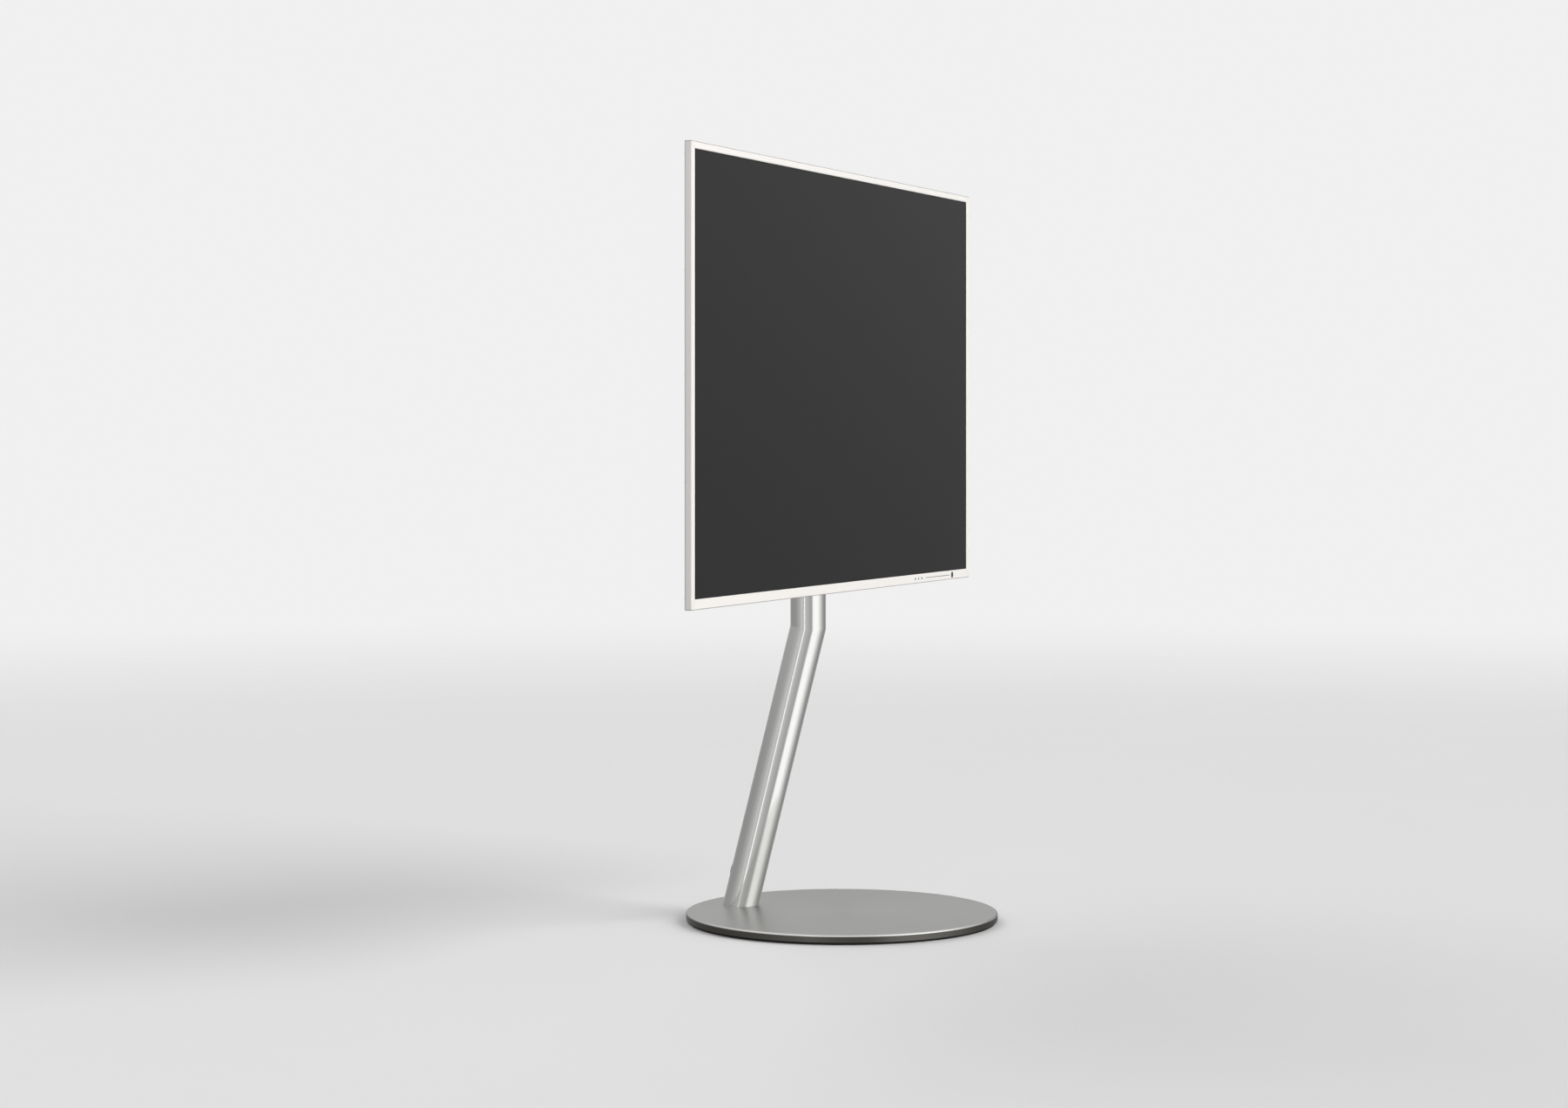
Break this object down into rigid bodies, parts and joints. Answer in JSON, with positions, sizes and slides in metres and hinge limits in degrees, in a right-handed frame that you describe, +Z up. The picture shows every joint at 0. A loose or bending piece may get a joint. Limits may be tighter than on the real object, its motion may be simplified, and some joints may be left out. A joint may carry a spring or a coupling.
{
  "type": "touchscreen kiosk",
  "caption": "Large flat display in a slim aluminium frame on a bent round steel column with a round disc base; the display turns on the column.",
  "frame": {"origin": "centre of the base disc on the floor", "axes": "+Z up, the display faces -Y, +X is the display's right-hand side as a visitor sees it"},
  "size_m": [1.2356, 0.525, 1.263],
  "materials": {
    "base_steel": "fine circular brushed stainless, satin",
    "column_steel": "lengthwise brushed stainless tube",
    "pad_rubber": "black, matt",
    "frame_aluminium": "silver anodised extrusion",
    "screen_glass": "dark screen glass, switched off",
    "gasket_rubber": "black foam gasket",
    "film_clear": "clear optical film",
    "cell_glass": "thin LCD glass",
    "diffuser_white": "white diffuser film",
    "guide_acrylic": "clear acrylic sheet",
    "led_strip": "white LED strip",
    "tray_steel": "galvanised sheet",
    "cover_paint": "dark grey powder coat",
    "bracket_paint": "black powder coat",
    "housing_plastic": "dark grey moulded plastic, fine grain",
    "black_plastic": "black moulded plastic",
    "key_plastic": "dark keys, satin gloss",
    "rocker_plastic": "black rocker",
    "light_bar_plastic": "smoked acrylic",
    "bush_plastic": "natural bearing plastic",
    "screw_steel": "zinc-plated steel screws",
    "boss_steel": "turned steel",
    "standoff_brass": "turned brass",
    "board_green": "green circuit board with its parts",
    "speaker_black": "black speaker box",
    "panel_steel": "plain steel plate",
    "ribbon_white": "flat white ribbon",
    "cable_black": "black sheathed cable"
  },
  "bodies": {
    "stand": {"base_plate": "base_steel", "base_pad": "pad_rubber", "column": "column_steel", "foot_plug": "boss_steel", "foot_screws": "screw_steel", "grommet_upper": "gasket_rubber", "grommet_lower": "gasket_rubber", "column_cap": "black_plastic", "support_collar": "bracket_paint", "collar_set_screws": "screw_steel", "stop_pin": "boss_steel"},
    "display": {"swivel_sleeve": "bracket_paint", "swivel_bushes": "bush_plastic", "mount_plate": "bracket_paint", "saddle_screws": "screw_steel", "mounting_bosses": "boss_steel", "mounting_screws": "screw_steel", "rail_top": "frame_aluminium", "rail_bottom": "frame_aluminium", "rail_left": "frame_aluminium", "rail_right": "frame_aluminium", "frame_blocks": "tray_steel", "corner_keys": "tray_steel", "cover_screws": "screw_steel", "glass_gasket": "gasket_rubber", "touch_glass": "screen_glass", "touch_film": "film_clear", "lcd_cell": "cell_glass", "diffuser_sheet": "diffuser_white", "prism_sheet": "film_clear", "light_guide": "guide_acrylic", "led_bar": "led_strip", "backlight_tray": "tray_steel", "rear_cover": "cover_paint", "light_bar": "light_bar_plastic", "key_board": "board_green", "rear_housing": "housing_plastic", "housing_screws": "screw_steel", "power_board": "board_green", "main_board": "board_green", "touch_board": "board_green", "timing_board": "board_green", "board_standoffs": "standoff_brass", "board_screws": "screw_steel", "speakers": "speaker_black", "mains_inlet": "black_plastic", "switch_body": "black_plastic", "port_panel": "panel_steel", "panel_screws": "screw_steel", "panel_ribbons": "ribbon_white", "key_ribbon": "ribbon_white", "touch_ribbon": "ribbon_white", "mains_harness": "cable_black", "dc_harness": "cable_black", "signal_cable": "cable_black"},
    "small_key_1": {"small_key_1": "key_plastic"},
    "small_key_2": {"small_key_2": "key_plastic"},
    "small_key_3": {"small_key_3": "key_plastic"},
    "power_key": {"power_key": "key_plastic"},
    "rocker": {"rocker": "rocker_plastic"}
  },
  "joints": [
    {"name": "display_swivel", "type": "hinge", "parent": "stand", "child": "display", "pos_m": [0, 0.06155, 0.8085], "axis": [0, 0, 1], "range_deg": [-30, 30]},
    {"name": "small_key_1_press", "type": "slide", "parent": "display", "child": "small_key_1", "axis": [0, 1, 0], "range_m": [0, 0.0008], "stiffness_N_per_m": 1200, "springref_m": -0.0005},
    {"name": "small_key_2_press", "type": "slide", "parent": "display", "child": "small_key_2", "axis": [0, 1, 0], "range_m": [0, 0.0008], "stiffness_N_per_m": 1200, "springref_m": -0.0005},
    {"name": "small_key_3_press", "type": "slide", "parent": "display", "child": "small_key_3", "axis": [0, 1, 0], "range_m": [0, 0.0008], "stiffness_N_per_m": 1200, "springref_m": -0.0005},
    {"name": "power_key_press", "type": "slide", "parent": "display", "child": "power_key", "axis": [0, 1, 0], "range_m": [0, 0.0008], "stiffness_N_per_m": 1200, "springref_m": -0.0005},
    {"name": "rocker_tilt", "type": "hinge", "parent": "display", "child": "rocker", "pos_m": [-0.255, 0.0177, 0.6692], "axis": [0, 1, 0], "range_deg": [-14, 0]}
  ]
}
